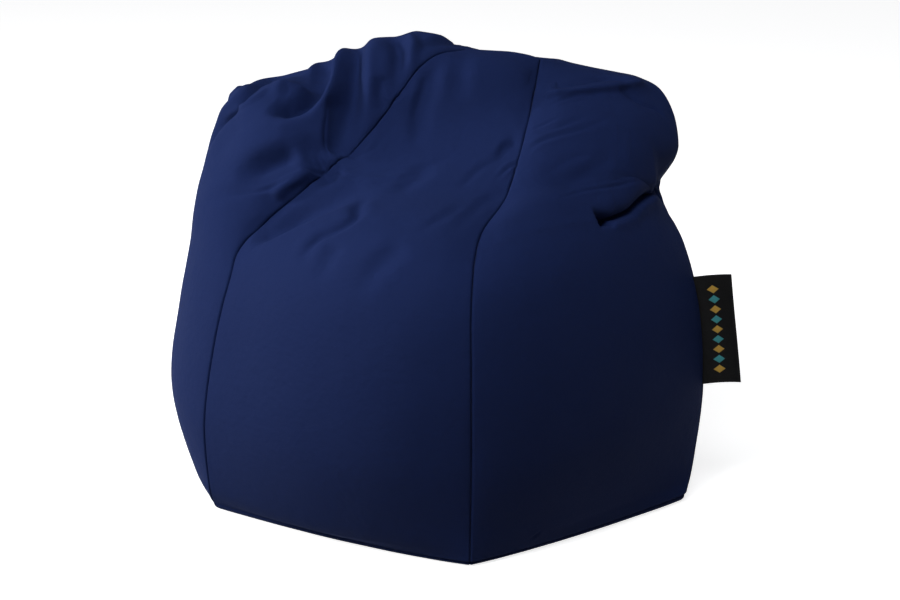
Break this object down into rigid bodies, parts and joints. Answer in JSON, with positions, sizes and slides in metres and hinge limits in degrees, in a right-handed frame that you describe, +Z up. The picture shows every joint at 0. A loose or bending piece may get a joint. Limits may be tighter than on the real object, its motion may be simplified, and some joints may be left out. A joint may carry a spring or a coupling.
{
  "type": "bean bag",
  "caption": "Slumped six-sided bean bag with filled, folded side panels, a base panel, a small top panel and a blank folded tag in one seam.",
  "frame": {"origin": "on the floor under the middle of the base panel", "axes": "+Z up, the seat faces -Y, +X to the right as seen from the front"},
  "size_m": [0.8385, 0.8418, 0.6468],
  "materials": {
    "navy_cloth": "matt plain-woven navy cloth",
    "black_tape": "close-woven black tape"
  },
  "bodies": {
    "root": {"seat_panel": "navy_cloth", "right_panel": "navy_cloth", "right_back_panel": "navy_cloth", "back_panel": "navy_cloth", "left_back_panel": "navy_cloth", "left_panel": "navy_cloth", "base_panel": "navy_cloth", "top_panel": "navy_cloth", "seam_tag": "black_tape"}
  },
  "joints": []
}
